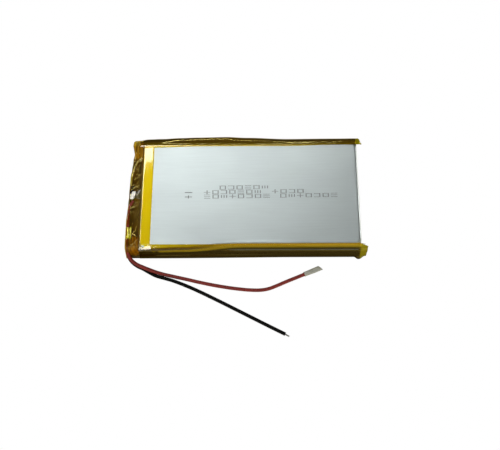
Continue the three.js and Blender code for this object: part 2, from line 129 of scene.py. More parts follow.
def along(value, stops):
    """The value of a smooth line through (place, value) stops, level beyond both ends."""
    if value <= stops[0][0]:
        return stops[0][1]
    for (a, low), (b, high) in zip(stops, stops[1:]):
        if value <= b:
            return mix(low, high, smoothstep(a, b, value))
    return stops[-1][1]


def steps(low, high, count):
    return [mix(low, high, i / count) for i in range(count + 1)]


def smooth_line(points, count):
    """A Catmull-Rom line through the points, with count steps to each span."""
    line = []
    last = len(points) - 1
    for i in range(last):
        p0, p1, p2, p3 = (Vector(points[min(max(k, 0), last)]) for k in (i - 1, i, i + 1, i + 2))
        for step in range(count):
            t = step / count
            line.append(0.5 * (2 * p1 + (p2 - p0) * t + (2 * p0 - 5 * p1 + 4 * p2 - p3) * t * t
                               + (3 * p1 - p0 - 3 * p2 + p3) * t ** 3))
    return line + [Vector(points[-1])]


# ---- Meshes ----

def grid_faces(rows, columns, ring=False):
    """Quads between neighbouring rows of points. With ring, each row closes on itself."""
    across = columns if ring else columns - 1
    faces = []
    for r in range(rows - 1):
        for c in range(across):
            start, after = r * columns, (c + 1) % columns
            faces.append((start + c, start + after, start + columns + after, start + columns + c))
    return faces


def add_piece(name, points, faces, material, replaces=()):
    """A smooth-shaded mesh piece on the cell's one body."""
    mesh = bpy.data.meshes.new(name)
    mesh.from_pydata([Vector(p) * MM for p in points], [], faces)
    mesh.shade_smooth()
    mesh.materials.append(material)
    piece = bpy.data.objects.new(name, mesh)
    bpy.context.scene.collection.objects.link(piece)
    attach(piece, BODY)
    if replaces:
        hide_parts(*replaces)
    return piece


def thicken(piece, thickness):
    """Gives an open sheet its thickness, inwards from the side that its faces look to."""
    solidify = piece.modifiers.new("thickness", "SOLIDIFY")
    solidify.thickness = thickness * MM
    solidify.offset = -1


def keep_faces(points, faces, kept):
    """The faces whose middle point passes a test, and the points that they use."""
    faces = [f for f in faces if kept(sum((Vector(points[v]) for v in f), Vector()) / len(f))]
    used = sorted({v for f in faces for v in f})
    place = {v: i for i, v in enumerate(used)}
    return [points[v] for v in used], [tuple(place[v] for v in f) for f in faces]


def add_lead(name, route, material, node):
    """A run of a lead: a round curve of one open spline that stands for a CAD node."""
    curve = bpy.data.curves.new(name, "CURVE")
    curve.dimensions = "3D"
    curve.bevel_depth = LEAD_DIAMETER / 2 * MM
    curve.bevel_resolution = 5
    curve.resolution_u = 8
    curve.use_fill_caps = True
    spline = curve.splines.new("BEZIER")
    spline.bezier_points.add(len(route) - 1)
    for knot, place in zip(spline.bezier_points, route):
        knot.co = Vector(place) * MM
        knot.handle_left_type = knot.handle_right_type = "AUTO"
    curve.materials.append(material)
    piece = bpy.data.objects.new(name, curve)
    bpy.context.scene.collection.objects.link(piece)
    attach(piece, BODY)
    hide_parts(node)
    return piece


# ---- Materials ----

class Nodes:
    """The nodes of a material or a world, added one at a time by name, with their inputs."""

    def __init__(self, owner, output="OutputMaterial"):
        owner.use_nodes = True
        self.owner = owner
        self.tree = owner.node_tree
        self.tree.nodes.clear()
        self.output = self.add(output)

    def add(self, kind, inputs=(), **settings):
        node = self.tree.nodes.new("ShaderNode" + kind)
        for key, value in settings.items():
            setattr(node, key, value)
        for key, value in dict(inputs).items():
            self.connect(node, key, value)
        return node

    def connect(self, node, key, value):
        """Links a socket to an input, or sets the input to a plain value."""
        if isinstance(value, bpy.types.NodeSocket):
            self.tree.links.new(value, node.inputs[key])
        else:
            node.inputs[key].default_value = value

    def done(self, shader):
        self.tree.links.new(shader.outputs[0], self.output.inputs["Surface"])
        return self.owner

    def place(self, scale=(1, 1, 1)):
        """The object's own coordinates in millimetres, stretched."""
        source = self.add("TexCoord").outputs["Object"]
        stretch = tuple(s / MM for s in scale)
        return self.add("Mapping", {"Vector": source, "Scale": stretch}).outputs[0]

    def noise(self, size, scale=(1, 1, 1), detail=3.0):
        """Noise with features of about size millimetres."""
        settings = {"Vector": self.place(scale), "Scale": 1 / size, "Detail": detail}
        return self.add("TexNoise", settings).outputs["Fac"]

    def ramp(self, factor, stops):
        """A colour or grey ramp through (place, colour) stops."""
        node = self.add("ValToRGB", {"Fac": factor})
        node.color_ramp.elements[0].position = stops[0][0]
        node.color_ramp.elements[0].color = colour(stops[0][1])
        node.color_ramp.elements[1].position = stops[-1][0]
        node.color_ramp.elements[1].color = colour(stops[-1][1])
        for at, value in stops[1:-1]:
            node.color_ramp.elements.new(at).color = colour(value)
        return node.outputs["Color"]

    def range(self, value, low, high, to_low, to_high):
        inputs = {"Value": value, "From Min": low, "From Max": high, "To Min": to_low, "To Max": to_high}
        return self.add("MapRange", inputs).outputs["Result"]

    def math(self, operation, *values):
        return self.add("Math", enumerate(values), operation=operation).outputs[0]

    def mix_shaders(self, share, a, b):
        return self.add("MixShader", {0: share, 1: a.outputs[0], 2: b.outputs[0]})

    def blend(self, share, a, b):
        node = self.add("Mix", {0: share}, data_type="RGBA")
        for key, value in ((6, a), (7, b)):
            self.connect(node, key, value if isinstance(value, bpy.types.NodeSocket) else colour(value))
        return node.outputs[2]

    def bump(self, height, depth):
        """A bump of so many millimetres."""
        return self.add("Bump", {"Height": height, "Distance": depth * MM}).outputs[0]


def new_look(name):
    return Nodes(bpy.data.materials.new(name))


def colour(value):
    """Linear RGBA from a grey or an RGB triple."""
    return (value, value, value, 1) if isinstance(value, (int, float)) else (*value, 1)


def make_laminate():
    """Satin aluminium laminate with faint streaks and clouds, painted lighter where tape covers its head end.
    """
    n = new_look("aluminium_laminate")
    streaks = n.noise(0.8, (0.05, 1, 1), 4)
    clouds = n.noise(16)
    base = n.ramp(streaks, [(0.3, (0.655, 0.73, 0.725)), (0.7, (0.685, 0.765, 0.76))])
    tone = n.blend(n.range(clouds, 0.35, 0.7, 0.0, 0.25), base, (0.66, 0.72, 0.75))
    along_x = n.add("SeparateXYZ", {0: n.place()}).outputs["X"]
    # Painted light: a brighter colour for the laminate under the head tape.
    lap_painted_light = n.range(along_x, HEAD_LAP_X - 0.8, HEAD_LAP_X - 0.2, 1.0, 0.0)
    tone = n.blend(lap_painted_light, tone, (0.82, 0.91, 0.89))
    rough = n.range(clouds, 0.3, 0.7, 0.355, 0.375)
    shader = n.add("BsdfPrincipled", {"Base Color": tone, "Metallic": 1.0, "Roughness": rough})
    return n.done(shader)


def make_amber_film():
    """Polyimide tape: a clear amber film, glossy on its outer side.

    Each tape mesh has a colour attribute, "haze_and_painted_light": the colour of its haze where it lies in
    several layers, with painted light and painted shade in places, and as alpha how far these hide what is
    under them.
    """
    n = new_look("amber_film")
    haze_and_painted_light = n.add("Attribute", attribute_name="haze_and_painted_light").outputs
    tint = n.ramp(n.noise(6), [(0.3, (0.993, 0.885, 0.06)), (0.7, (0.998, 0.905, 0.09))])
    deep = n.blend(haze_and_painted_light["Alpha"], tint, (0.93, 0.66, 0.04))
    clear = n.add("BsdfTransparent", {"Color": deep})
    haze = n.add("BsdfDiffuse", {"Color": haze_and_painted_light["Color"], "Roughness": 0.3})
    body = n.mix_shaders(haze_and_painted_light["Alpha"], clear, haze)
    bump = n.bump(n.noise(5, detail=2), 0.006)
    warmth = n.range(haze_and_painted_light["Alpha"], 0.0, 0.25, 0.0, 1.0)
    sheen = n.blend(warmth, (1.0, 0.98, 0.92), (1.0, 0.86, 0.30))
    gloss = n.add("BsdfGlossy", {"Color": sheen, "Roughness": 0.045, "Normal": bump})
    fresnel = n.add("Fresnel", {"IOR": 1.85, "Normal": bump}).outputs[0]
    inside = n.add("NewGeometry").outputs["Backfacing"]
    shine = n.math("MULTIPLY", fresnel, n.math("SUBTRACT", 1.0, inside))
    return n.done(n.mix_shaders(shine, body, gloss))


def make_mottled(
    name, low, high, size, roughness, metallic=0.0, bump=0.0, stretch=(1, 1, 1), specular=0.5,
):
    """A plain solid material whose colour wanders between two shades, in spots of about size millimetres."""
    n = new_look(name)
    grain = n.noise(size, stretch, 4)
    inputs = {
        "Base Color": n.ramp(grain, [(0.3, low), (0.7, high)]),
        "Metallic": metallic,
        "Roughness": n.range(grain, 0.3, 0.7, roughness * 0.88, roughness * 1.12),
        "Specular IOR Level": specular,
    }
    if bump:
        inputs["Normal"] = n.bump(grain, bump)
    return n.done(n.add("BsdfPrincipled", inputs))


LAMINATE_LOOK = make_laminate()
AMBER_LOOK = make_amber_film()
RED_LOOK = make_mottled("red_pvc", (0.29, 0.028, 0.022), (0.42, 0.046, 0.036), 2.5, 0.5, bump=0.01)
BLACK_LOOK = make_mottled("black_pvc", (0.002,) * 3, (0.004,) * 3, 2.5, 0.5, bump=0.01, specular=0.12)
SOLDER_LOOK = make_mottled("tinned_copper", (0.36, 0.36, 0.37), (0.62, 0.62, 0.64), 0.25, 0.3, 1.0, 0.01)
INK_LOOK = make_mottled("print_ink", (0.14, 0.15, 0.15), (0.22, 0.23, 0.23), 1.0, 0.6)

# The looks of the CAD pieces that stay as they are, each with the pieces that have it.
CAD_LOOKS = [
    (LAMINATE_LOOK, ["pouch_back_sheet"]),
    (SOLDER_LOOK, ["red_solder_joint", "black_solder_joint"]),
    (make_mottled("separator", (0.74, 0.76, 0.74), (0.84, 0.85, 0.83), 1.5, 0.55),
     ["separator_inner", "separator_outer"]),
    (make_mottled("graphite", (0.014, 0.014, 0.016), (0.035, 0.035, 0.038), 0.2, 0.7, 0.1, 0.01),
     ["anode_strip"]),
    (make_mottled("cathode_coating", (0.022, 0.019, 0.017), (0.05, 0.045, 0.04), 0.2, 0.7, 0.1, 0.01),
     ["cathode_strip"]),
    (make_mottled("green_tape", (0.02, 0.24, 0.13), (0.03, 0.30, 0.17), 3.0, 0.35),
     ["roll_closing_tape"]),
    (make_mottled("nickel", (0.42, 0.40, 0.36), (0.56, 0.54, 0.50), 0.8, 0.32, 1.0, 0.004, (0.1, 1, 1)),
     ["negative_tab", "positive_nickel_strip", "negative_weld_pad", "positive_weld_pad"]),
    (make_mottled("aluminium_tab", (0.62, 0.63, 0.64), (0.74, 0.75, 0.76), 0.6, 0.35, 1.0, 0.004),
     ["positive_tab"]),
    (make_mottled("tab_film", (0.70, 0.66, 0.55), (0.80, 0.76, 0.66), 1.0, 0.5),
     ["negative_tab_film", "positive_tab_film"]),
    (make_mottled("solder_mask", (0.010, 0.022, 0.008), (0.020, 0.045, 0.014), 0.7, 0.35, bump=0.01),
     ["protection_board"]),
    (make_mottled("moulded_epoxy", (0.008, 0.008, 0.009), (0.018, 0.018, 0.019), 0.15, 0.5, bump=0.006),
     ["mosfet_1", "mosfet_2", "protection_chip", "resistor_1", "resistor_2"]),
    (make_mottled("ceramic", (0.18, 0.11, 0.055), (0.30, 0.19, 0.10), 0.2, 0.4),
     ["capacitor_1", "capacitor_2"]),
    (make_mottled("barley_paper", (0.44, 0.36, 0.18), (0.60, 0.50, 0.28), 0.5, 0.85, bump=0.02),
     ["terrace_insulator"]),
    (make_mottled("white_foam", (0.60, 0.60, 0.56), (0.78, 0.78, 0.74), 0.35, 0.9, bump=0.06),
     ["foam_pad"]),
]


# ---- Camera ----

CAMERA_TARGET = (1.475, -15.482, 6.118)
CAMERA_AZIMUTH = math.radians(0.57)
CAMERA_ELEVATION = math.radians(60.683)
CAMERA_ROLL = math.radians(-0.717)
CAMERA_DISTANCE = 538.5
LENS = 81.284
SENSOR = 36.0
KEY_PLACE = (-413.8, 654.4, 994.1)  # the key light, which the creases in the tape catch


def camera_back():
    """The direction from the camera's target to the camera."""
    level, up = math.cos(CAMERA_ELEVATION), math.sin(CAMERA_ELEVATION)
    return Vector((math.sin(CAMERA_AZIMUTH) * level, -math.cos(CAMERA_AZIMUTH) * level, up))


CAMERA_PLACE = Vector(CAMERA_TARGET) + camera_back() * CAMERA_DISTANCE


def add_camera():
    data = bpy.data.cameras.new("camera")
    data.lens = LENS
    data.sensor_width = SENSOR
    data.clip_start = 0.01
    camera = bpy.data.objects.new("camera", data)
    bpy.context.scene.collection.objects.link(camera)
    camera.location = CAMERA_PLACE * MM
    aim = (-camera_back()).to_track_quat("-Z", "Y").to_matrix().to_4x4()
    camera.rotation_euler = (aim @ Matrix.Rotation(CAMERA_ROLL, 4, "Z")).to_euler()
    bpy.context.scene.camera = camera


# ---- Leads ----


WIRE_RADIUS, WIRE_SIDES, WIRE_STEPS, WIRE_TURNS = 0.11, 6, 14, 0.6
WIRE_SPREAD = 0.22  # how far the outer wires are from the middle one


def cross_directions(start, end):
    """The direction from start to end, and the level and upward directions across it."""
    run = (end - start).normalized()
    side = run.cross(Vector((0, 0, 1))).normalized()
    return run, side, side.cross(run)


def add_strands(name, ends, replaces):
    """A short bundle of twisted wires: one in the middle and six wound round it, cut at uneven lengths."""
    start, end = (Vector(p) for p in ends)
    _, side, up = cross_directions(start, end)
    points, faces = [], []
    for strand in range(7):
        spread = WIRE_SPREAD if strand else 0.0
        first = len(points)
        for i in range(WIRE_STEPS + 1):
            share = i / WIRE_STEPS
            angle = strand * math.pi / 3 + share * WIRE_TURNS * 2 * math.pi
            fray = spread * (1 + 0.35 * share * (strand % 3))
            middle = start.lerp(end, share * (1 - 0.06 * (strand % 4)))
            middle += (side * math.cos(angle) + up * math.sin(angle)) * fray
            for k in range(WIRE_SIDES):
                turn = k * 2 * math.pi / WIRE_SIDES
                points.append(middle + (side * math.cos(turn) + up * math.sin(turn)) * WIRE_RADIUS)
        last = first + WIRE_STEPS * WIRE_SIDES
        wall = grid_faces(WIRE_STEPS + 1, WIRE_SIDES, ring=True)
        faces += [tuple(first + v for v in face) for face in wall]
        faces.append(tuple(first + k for k in reversed(range(WIRE_SIDES))))
        faces.append(tuple(last + k for k in range(WIRE_SIDES)))
    return add_piece(name, points, faces, SOLDER_LOOK, replaces)


def make_clear_sleeve_look():
    """Cloudy clear heat-shrink film."""
    n = new_look("clear_sleeve")
    tint = n.ramp(n.noise(1.2, detail=4), [(0.3, (0.78, 0.80, 0.74)), (0.7, (0.90, 0.92, 0.87))])
    clear = n.add("BsdfTransparent", {"Color": tint})
    haze = n.add("BsdfPrincipled", {"Base Color": (0.84, 0.85, 0.76, 1), "Roughness": 0.35})
    return n.done(n.mix_shaders(0.8, clear, haze))


def add_clear_sleeve():
    """A short sleeve, round where it grips the lead and pinched flat at its slanted end."""
    start, end = (Vector(p) for p in RED_SLEEVE)
    run, side, up = cross_directions(start, end)
    length = (end - start).length
    sides, count = 20, 16
    points = []
    for i in range(count + 1):
        share = i / count
        pinch = smoothstep(0.15, 0.6, share)
        half_width = mix(1.02, 1.2, pinch)
        half_height = mix(1.02, 0.5, pinch)
        for k in range(sides):
            angle = 2 * math.pi * k / sides
            across, above = math.cos(angle) * half_width, math.sin(angle) * half_height
            slant = 0.55 * across * smoothstep(0.5, 1.0, share)
            dent = 0.12 * math.sin(3 * share * math.pi + across) * pinch * math.sin(angle)
            points.append(start + run * (length * share + slant) + side * across + up * (above + dent))
    faces = grid_faces(count + 1, sides, ring=True)
    look = make_clear_sleeve_look()
    sleeve = add_piece("red_lead_sleeve_pinched", points, faces, look, ["red_lead_sleeve"])
    thicken(sleeve, 0.1)
    return sleeve


def add_leads():
    add_lead("red_lead_held_run", RED_HELD_ROUTE, RED_LOOK, "red_lead_held")
    add_lead("black_lead_held_run", BLACK_HELD_ROUTE, BLACK_LOOK, "black_lead_held")
    red_strands = add_strands("red_lead_wires", RED_STRAND, ["red_lead_strands"])
    black_strands = add_strands("black_lead_wires", BLACK_STRAND, ["black_lead_strands"])
    sleeve = add_clear_sleeve()
    for name, route, look, node, with_pieces in (
        ("red_lead_free_run", RED_ROUTE, RED_LOOK, "red_lead", [red_strands, sleeve]),
        ("black_lead_free_run", BLACK_ROUTE, BLACK_LOOK, "black_lead", [black_strands]),
    ):
        lead = add_lead(name, route, look, node)


# ---- Pouch ----

def rounded_outline(x0, x1, y0, y1, radius):
    """Points round a rectangle, counter-clockwise from above, each with the direction that it faces."""
    long_steps, short_steps, corner_steps = 96, 48, 8
    x0, x1, y0, y1 = x0 + radius, x1 - radius, y0 + radius, y1 - radius
    sides = [
        (x1, y0, -90, short_steps), (x1, y1, 0, long_steps),
        (x0, y1, 90, short_steps), (x0, y0, 180, long_steps),
    ]
    outline = []
    for (x, y, start, straight), (next_x, next_y, _, _) in zip(sides, sides[1:] + sides[:1]):
        for i in range(corner_steps + 1):
            angle = math.radians(start + 90 * i / corner_steps)
            facing = Vector((math.cos(angle), math.sin(angle)))
            outline.append((Vector((x, y)) + facing * radius, facing))
        corner_end = outline[-1][0]
        run = Vector((next_x - x, next_y - y))
        outline += [(corner_end + run * i / straight, facing) for i in range(1, straight)]
    return outline


def shoulder_depth(facing):
    """How far down the cup's upper edge is rounded where it faces this way."""
    shares = [max(facing.x, 0) ** 2, max(-facing.x, 0) ** 2, max(facing.y, 0) ** 2, max(-facing.y, 0) ** 2]
    shoulders = [FOOT_SHOULDER, HEAD_SHOULDER, BACK_SHOULDER, FRONT_SHOULDER]
    return sum(share * down for share, (_, down) in zip(shares, shoulders))


def face_height(x, y):
    """The height of the cup's face, with faint dents where no tape holds it flat."""
    bare = (smoothstep(HEAD_LAP_X, HEAD_LAP_X + 3, x) * smoothstep(52.4, 49, x)
            * smoothstep(-28.7, -26, y) * smoothstep(26, 23, y))
    dents = noise.noise(Vector((x / 21, y / 13, 0.4))) * 0.05
    dents += noise.noise(Vector((x / 7, y / 5, 3.1))) * 0.012
    fold_x = along(y, [(-27, CUP_FOOT_X), (24, CUP_FOOT_X - 2.3)])
    return FACE_Z + (dents - 0.02) * bare - 0.015 * max(x - fold_x, 0)


# How far the front tape swells out over the shoulder, by its place along X.
FRONT_SWELL = [(-44, 1.0), (-29, 0.88), (-2, 0.0)]
# How far the swollen shoulder's edge and the face's edge stand out under it, and how much it flattens.
EDGE_SWELL, FACE_SWELL, SWELL_FLATTENS = 1.7, 2.8, 0.65


def swollen_place(p, facing, front, foot=0.0):
    """A place on the cup's outline, moved out by so much at the foot, and in front where the tape swells."""
    out = front * along(p.x, FRONT_SWELL) ** 2 * max(-facing.y, 0)
    return p + Vector((foot * max(facing.x, 0), -out))


def wall_rings(outline):
    """The flange and the wall of the cup, up to the foot of its shoulder."""
    flange_z = CUP_LOW.z + LAMINATE
    rings = [[(*(p + facing * out), flange_z) for p, facing in outline] for out in (0.45, 0.1)]
    rings.append([(*p, flange_z + 0.15) for p, _ in outline])
    for z, front in ((3.0, 0.0), (5.0, 0.2)):
        rings.append([(*swollen_place(p, facing, front, FOOT_BULGE), z) for p, facing in outline])
    return rings


def shoulder_ring(outline, face_edge, angle):
    """One ring round the cup's shoulder, from its foot at no angle to the face's edge at a right angle."""
    ring = []
    for (low, facing), (high, _) in zip(outline, face_edge):
        low = swollen_place(low, facing, EDGE_SWELL, FOOT_BULGE)
        high = swollen_place(high, facing, FACE_SWELL)
        flat = SWELL_FLATTENS * along(low.x, FRONT_SWELL) * max(-facing.y, 0)
        down = shoulder_depth(facing) * (1 - flat) * (1 - math.sin(angle))
        ring.append((*low.lerp(high, 1 - math.cos(angle)), face_height(*high) - down))
    return ring


def add_pouch_shell():
    """The drawn half of the laminate: flange, walls, round shoulder and face."""
    outline = rounded_outline(CUP_HEAD_X, CUP_FOOT_X, -CUP_Y, CUP_Y, CUP_CORNER)
    face_edge = rounded_outline(
        CUP_HEAD_X + HEAD_SHOULDER[0], CUP_FOOT_X - FOOT_SHOULDER[0],
        FRONT_SHOULDER[0] - CUP_Y, CUP_Y - BACK_SHOULDER[0], FACE_CORNER,
    )
    rings = wall_rings(outline)
    rings += [shoulder_ring(outline, face_edge, math.radians(angle)) for angle in range(0, 91, 9)]
    edge = [swollen_place(p, facing, FACE_SWELL) for p, facing in face_edge]
    middle = sum(edge, Vector((0, 0))) / len(edge)
    for share in [0.996, 0.99, 0.983, 0.976, 0.969, 0.962, 0.955] + steps(0.945, 0.01, 38):
        inner = [middle.lerp(p, share) for p in edge]
        rings.append([(p.x, p.y, face_height(p.x, p.y)) for p in inner])
    size = len(outline)
    faces = grid_faces(len(rings), size, ring=True)
    faces.append(tuple(range((len(rings) - 1) * size, len(rings) * size)))
    points = [p for ring in rings for p in ring]
    shell = add_piece("pouch_shell", points, faces, LAMINATE_LOOK, ["pouch_cup"])
    thicken(shell, LAMINATE)


# ---- Print ----

PRINT_TILT = 0.0125
# Place along Y in the middle of the face, and the stretches of marks, of each printed row.
PRINT_ROWS = [
    (2.0, [(-13.1, 11.4)]),
    (-0.5, [(-20.6, 6.3), (12.0, 27.8)]),
    (-2.95, [(-20.5, 11.0), (15.9, 43.0)]),
]
MARK_WIDTH, MARK_HEIGHT, MARK_PITCH = 3.1, 2.2, 4.05
MARK_COLUMNS, MARK_ROWS = 5, 7
DOT_FILL = 0.75
SIGNS_X = -27.9


def frame_mark(column, row):
    return column in (0, MARK_COLUMNS - 1) or row in (0, MARK_ROWS - 1)


def bars_mark(column, row):
    return row % 3 == 0


def cross_mark(column, row):
    return column == MARK_COLUMNS // 2 or row == MARK_ROWS // 2


def comb_mark(column, row):
    return column % 2 == 0 and 0 < row < MARK_ROWS - 1


def bracket_mark(column, row):
    return row in (0, MARK_ROWS - 1) or column == MARK_COLUMNS - 1


MARKS = [frame_mark, bars_mark, cross_mark, frame_mark, comb_mark, bracket_mark]


def printed_dots():
    """The place and size of each dot of the abstract patterns."""
    column, row = MARK_WIDTH / MARK_COLUMNS, MARK_HEIGHT / MARK_ROWS
    number = 0
    for y, stretches in PRINT_ROWS:
        for x0, x1 in stretches:
            for i in range(round((x1 - x0 + MARK_PITCH - MARK_WIDTH) / MARK_PITCH)):
                mark = MARKS[number * 5 % 7 % len(MARKS)]
                number += 1
                for c in range(MARK_COLUMNS):
                    for r in range(MARK_ROWS):
                        if mark(c, r):
                            x = x0 + i * MARK_PITCH + (c + 0.5) * column
                            yield x, y + (r - MARK_ROWS // 2) * row, column * DOT_FILL, row * DOT_FILL


def add_print():
    """Rows of abstract dot patterns, and the two signs of the poles, in ink on the face."""
    minus_y, plus_y = PRINT_ROWS[1][0], PRINT_ROWS[2][0]
    bars = list(printed_dots())
    bars += [(SIGNS_X, minus_y, 3.6, 0.4), (SIGNS_X, plus_y, 3.4, 0.3), (SIGNS_X, plus_y, 0.35, 1.7)]
    points, faces = [], []
    for x, y, width, height in bars:
        first = len(points)
        for side, end in ((-1, -1), (1, -1), (1, 1), (-1, 1)):
            corner_x, corner_y = x + side * width / 2, y + end * height / 2 + PRINT_TILT * x
            points.append((corner_x, corner_y, face_height(corner_x, corner_y) + 0.03))
        faces.append((first, first + 1, first + 2, first + 3))
    add_piece("printed_marks", points, faces, INK_LOOK)


# ---- Side tapes ----

# The colour and density of the film's haze where it lies in one layer or in several, and of the painted light
# and painted shade laid over it.
THIN = (0.30, 0.17, 0.005, 0.012)
AMBER_LAYERS = (0.60, 0.29, 0.006, 0.80)
BROWN_LAYERS = (0.46, 0.18, 0.003, 0.85)
BOARD_LAYERS = (0.24, 0.12, 0.002, 0.45)
# Painted light: bright yellow at the wrap's outer edge, for light showing through the film there.
PAINTED_EDGE_LIGHT = (0.98, 0.84, 0.10, 0.90)
# Painted highlight: bright yellow on the tops of the creases in the wrap.
PAINTED_CREASE_HIGHLIGHT = (1.0, 0.98, 0.01, 0.90)
OLIVE_LAYERS = (0.50, 0.42, 0.005, 0.92)
# Painted light: a bright golden haze over the front tape, standing in for light that the film reflects there.
PAINTED_GOLD_LIGHT = (0.98, 0.76, 0.01, 0.28)
# Painted shade: dark on the lower front tape and over the back tape's shoulder.
PAINTED_SHADE = (0.06, 0.032, 0.001, 0.76)


def stain_over(haze_and_painted_light, layers):
    """A stain with others laid over it, each by its share."""
    for layer, share in layers:
        haze_and_painted_light = tuple(mix(a, b, share) for a, b in zip(haze_and_painted_light, layer))
    return haze_and_painted_light


def between(low, high, fade, value):
    """One between low and high, falling smoothly to nothing over the width of the fade outside them."""
    return smoothstep(low - fade, low, value) * smoothstep(high + fade, high, value)


def side_haze_and_painted_light(x, y, z):
    """Clear over the swollen front shoulder and the back, painted golden light over the rest of the front,
    painted shade on the lower front and over the back shoulder, and olive in the free tails.
    """
    tail = (OLIVE_LAYERS, smoothstep(CUP_FOOT_X - 0.2, CUP_FOOT_X + 0.4, x))
    if y < 0:
        swollen = along(x, FRONT_SWELL) ** 2 * smoothstep(11.3, 11.8, z)
        # Painted light: the front tape's golden haze.
        return stain_over(PAINTED_GOLD_LIGHT, [
            (THIN, 0.9 * swollen),
            # Painted shade, darker towards the base.
            (PAINTED_SHADE, smoothstep(10.8, 8.5, z)),
            tail,
        ])
    return stain_over(THIN, [
        (OLIVE_LAYERS, 0.2 * smoothstep(25.4, 26.6, y)),
        # Painted shade over the back shoulder.
        (PAINTED_SHADE, smoothstep(27.3, 28.6, y) * smoothstep(12.6, 11.6, z)),
        tail,
    ])


def add_film(name, node, points, faces, haze_and_painted_light):
    """A tape piece, with its film's haze, painted light and painted shade at each point."""
    piece = add_piece(name, points, faces, AMBER_LOOK, [node])
    attribute = piece.data.color_attributes.new("haze_and_painted_light", "FLOAT_COLOR", "POINT")
    for value, point in zip(attribute.data, points):
        value.color = haze_and_painted_light(*point)
    thicken(piece, TAPE)


def side_film(name, node, side, xs, section, shape_tail, kept):
    """A tape along one long side.

    section(x) gives (distance from the middle, height) points, shape_tail moves those past the foot, and
    kept says which faces stay.
    """
    rows = [[shape_tail(x, y, z) for y, z in section(x)] for x in xs]
    points = [(x, side * y, z) for row in rows for x, y, z in row]
    faces = grid_faces(len(rows), len(rows[0]))
    if side < 0:
        faces = [tuple(reversed(f)) for f in faces]
    points, faces = keep_faces(points, faces, kept)
    add_film(name, node, points, faces, side_haze_and_painted_light)


def catch_light(places, height):
    """Heights for a line of places in one plane that mirrors the key light into the camera."""
    start = Vector((*places[0], height))
    half = (CAMERA_PLACE - start).normalized() + (Vector(KEY_PLACE) - start).normalized()
    return [(x, y, height - ((x - start.x) * half.x + (y - start.y) * half.y) / half.z) for x, y in places]


# How loosely the back tape stands over the shoulder, and where its lap ends, by its place along X.
BACK_LOOSE = [
    (-53, 0.1), (-48, 0.9), (-42, 1.1), (-32, 1.6), (-24, 1.85), (-10, 2.1), (0, 1.6), (20, 0.8), (40, 0.95),
    (57, 1.05),
]
BACK_LAP_Y = [(-51, 24.9), (-20, 25.6), (20, 25.6), (50, 26.5)]


def back_section(x):
    """The back tape: lapped on the face, loose over the shoulder, down the side and under."""
    loose = along(x, BACK_LOOSE)
    lift = 0.3 + 0.14 * smoothstep(-14, 0, x)
    ripple = 0.12 * noise.noise(Vector((x / 4, 7.7, 0)))
    line = [
        (along(x, BACK_LAP_Y), LAP_Z), (26.3, LAP_Z), (27.1, LAP_Z - 0.14),
        (28.0 + 0.2 * loose, LAP_Z - 0.5 + lift * loose + ripple),
        (29.0 + 0.5 * loose, LAP_Z - 0.95 + 0.55 * loose + 0.6 * ripple),
        (29.7 + 0.6 * loose, LAP_Z - 1.7 + 0.6 * loose),
        (30.0 + 0.2 * loose, 8.6), (29.98, 5.0), (29.98, 1.2), (29.7, 0.3),
        (28.9, BASE_LAP_Z), (25.2, BASE_LAP_Z),
    ]
    return [tuple(p) for p in smooth_line(line, 4)]


def back_tail(x, y, z):
    """Past the foot, the back tape narrows to a tip that hooks forward."""
    share = 0.94 * smoothstep(54.8, BACK_TAPE_HIGH.x, x)
    return x, mix(y, 27.2, share), mix(z, 10.6, share)


FRONT_TAIL_X = 57.1
# The front tape's upper part, in (distance from the middle, height), where it swells out the most.
SWOLLEN_LINE = [
    (29.1, 12.16), (30.0, 12.15), (31.0, 12.13), (31.6, 12.09), (31.95, 11.8), (32.15, 11.2), (32.1, 10.2),
    (31.4, 8.5),
]
# The flat fold where it meets the head tape: a place on it and the height there.
LEDGE, LEDGE_Z = (-47.0, -31.0), 12.1
# Across it, its inner points, the distances from the middle where its height is worked out, and its rim.
LEDGE_INNER = [(29.0, 12.16), (29.15, 12.1)]
LEDGE_STEPS = (29.8, 30.6, 31.3, 31.8, 32.1)
LEDGE_RIM = (32.2, 11.2)
# How far the front tape hangs away from the wall near the base.
FRONT_HANG = [(-40, 0.4), (35, 0.0)]


def close_line(wave):
    """The front tape's upper part where it lies close to the shoulder, moved out by a wave."""
    across, down = FRONT_SHOULDER
    start_y, start_z = CUP_Y - across, FACE_Z - down
    line = [(29.0, LAP_Z)]
    for angle in (math.radians(a) for a in (15, 22, 30, 40, 50, 62, 78)):
        out, up = math.sin(angle), math.cos(angle)
        line.append((start_y + (across + 0.1 + wave) * out, start_z + (down + 0.06) * up))
    return line


def ledge_line(x):
    """The front tape's upper part on the flat fold, which catches the key light and twists along X."""
    twist = 0.05 * noise.noise(Vector((x / 0.9, 5.5, 0)))
    outer = [(y, catch_light([LEDGE, (x, -y)], LEDGE_Z)[1][2]) for y in LEDGE_STEPS]
    return [(y, z + (y + LEDGE[1]) * twist) for y, z in LEDGE_INNER + outer + [LEDGE_RIM]]


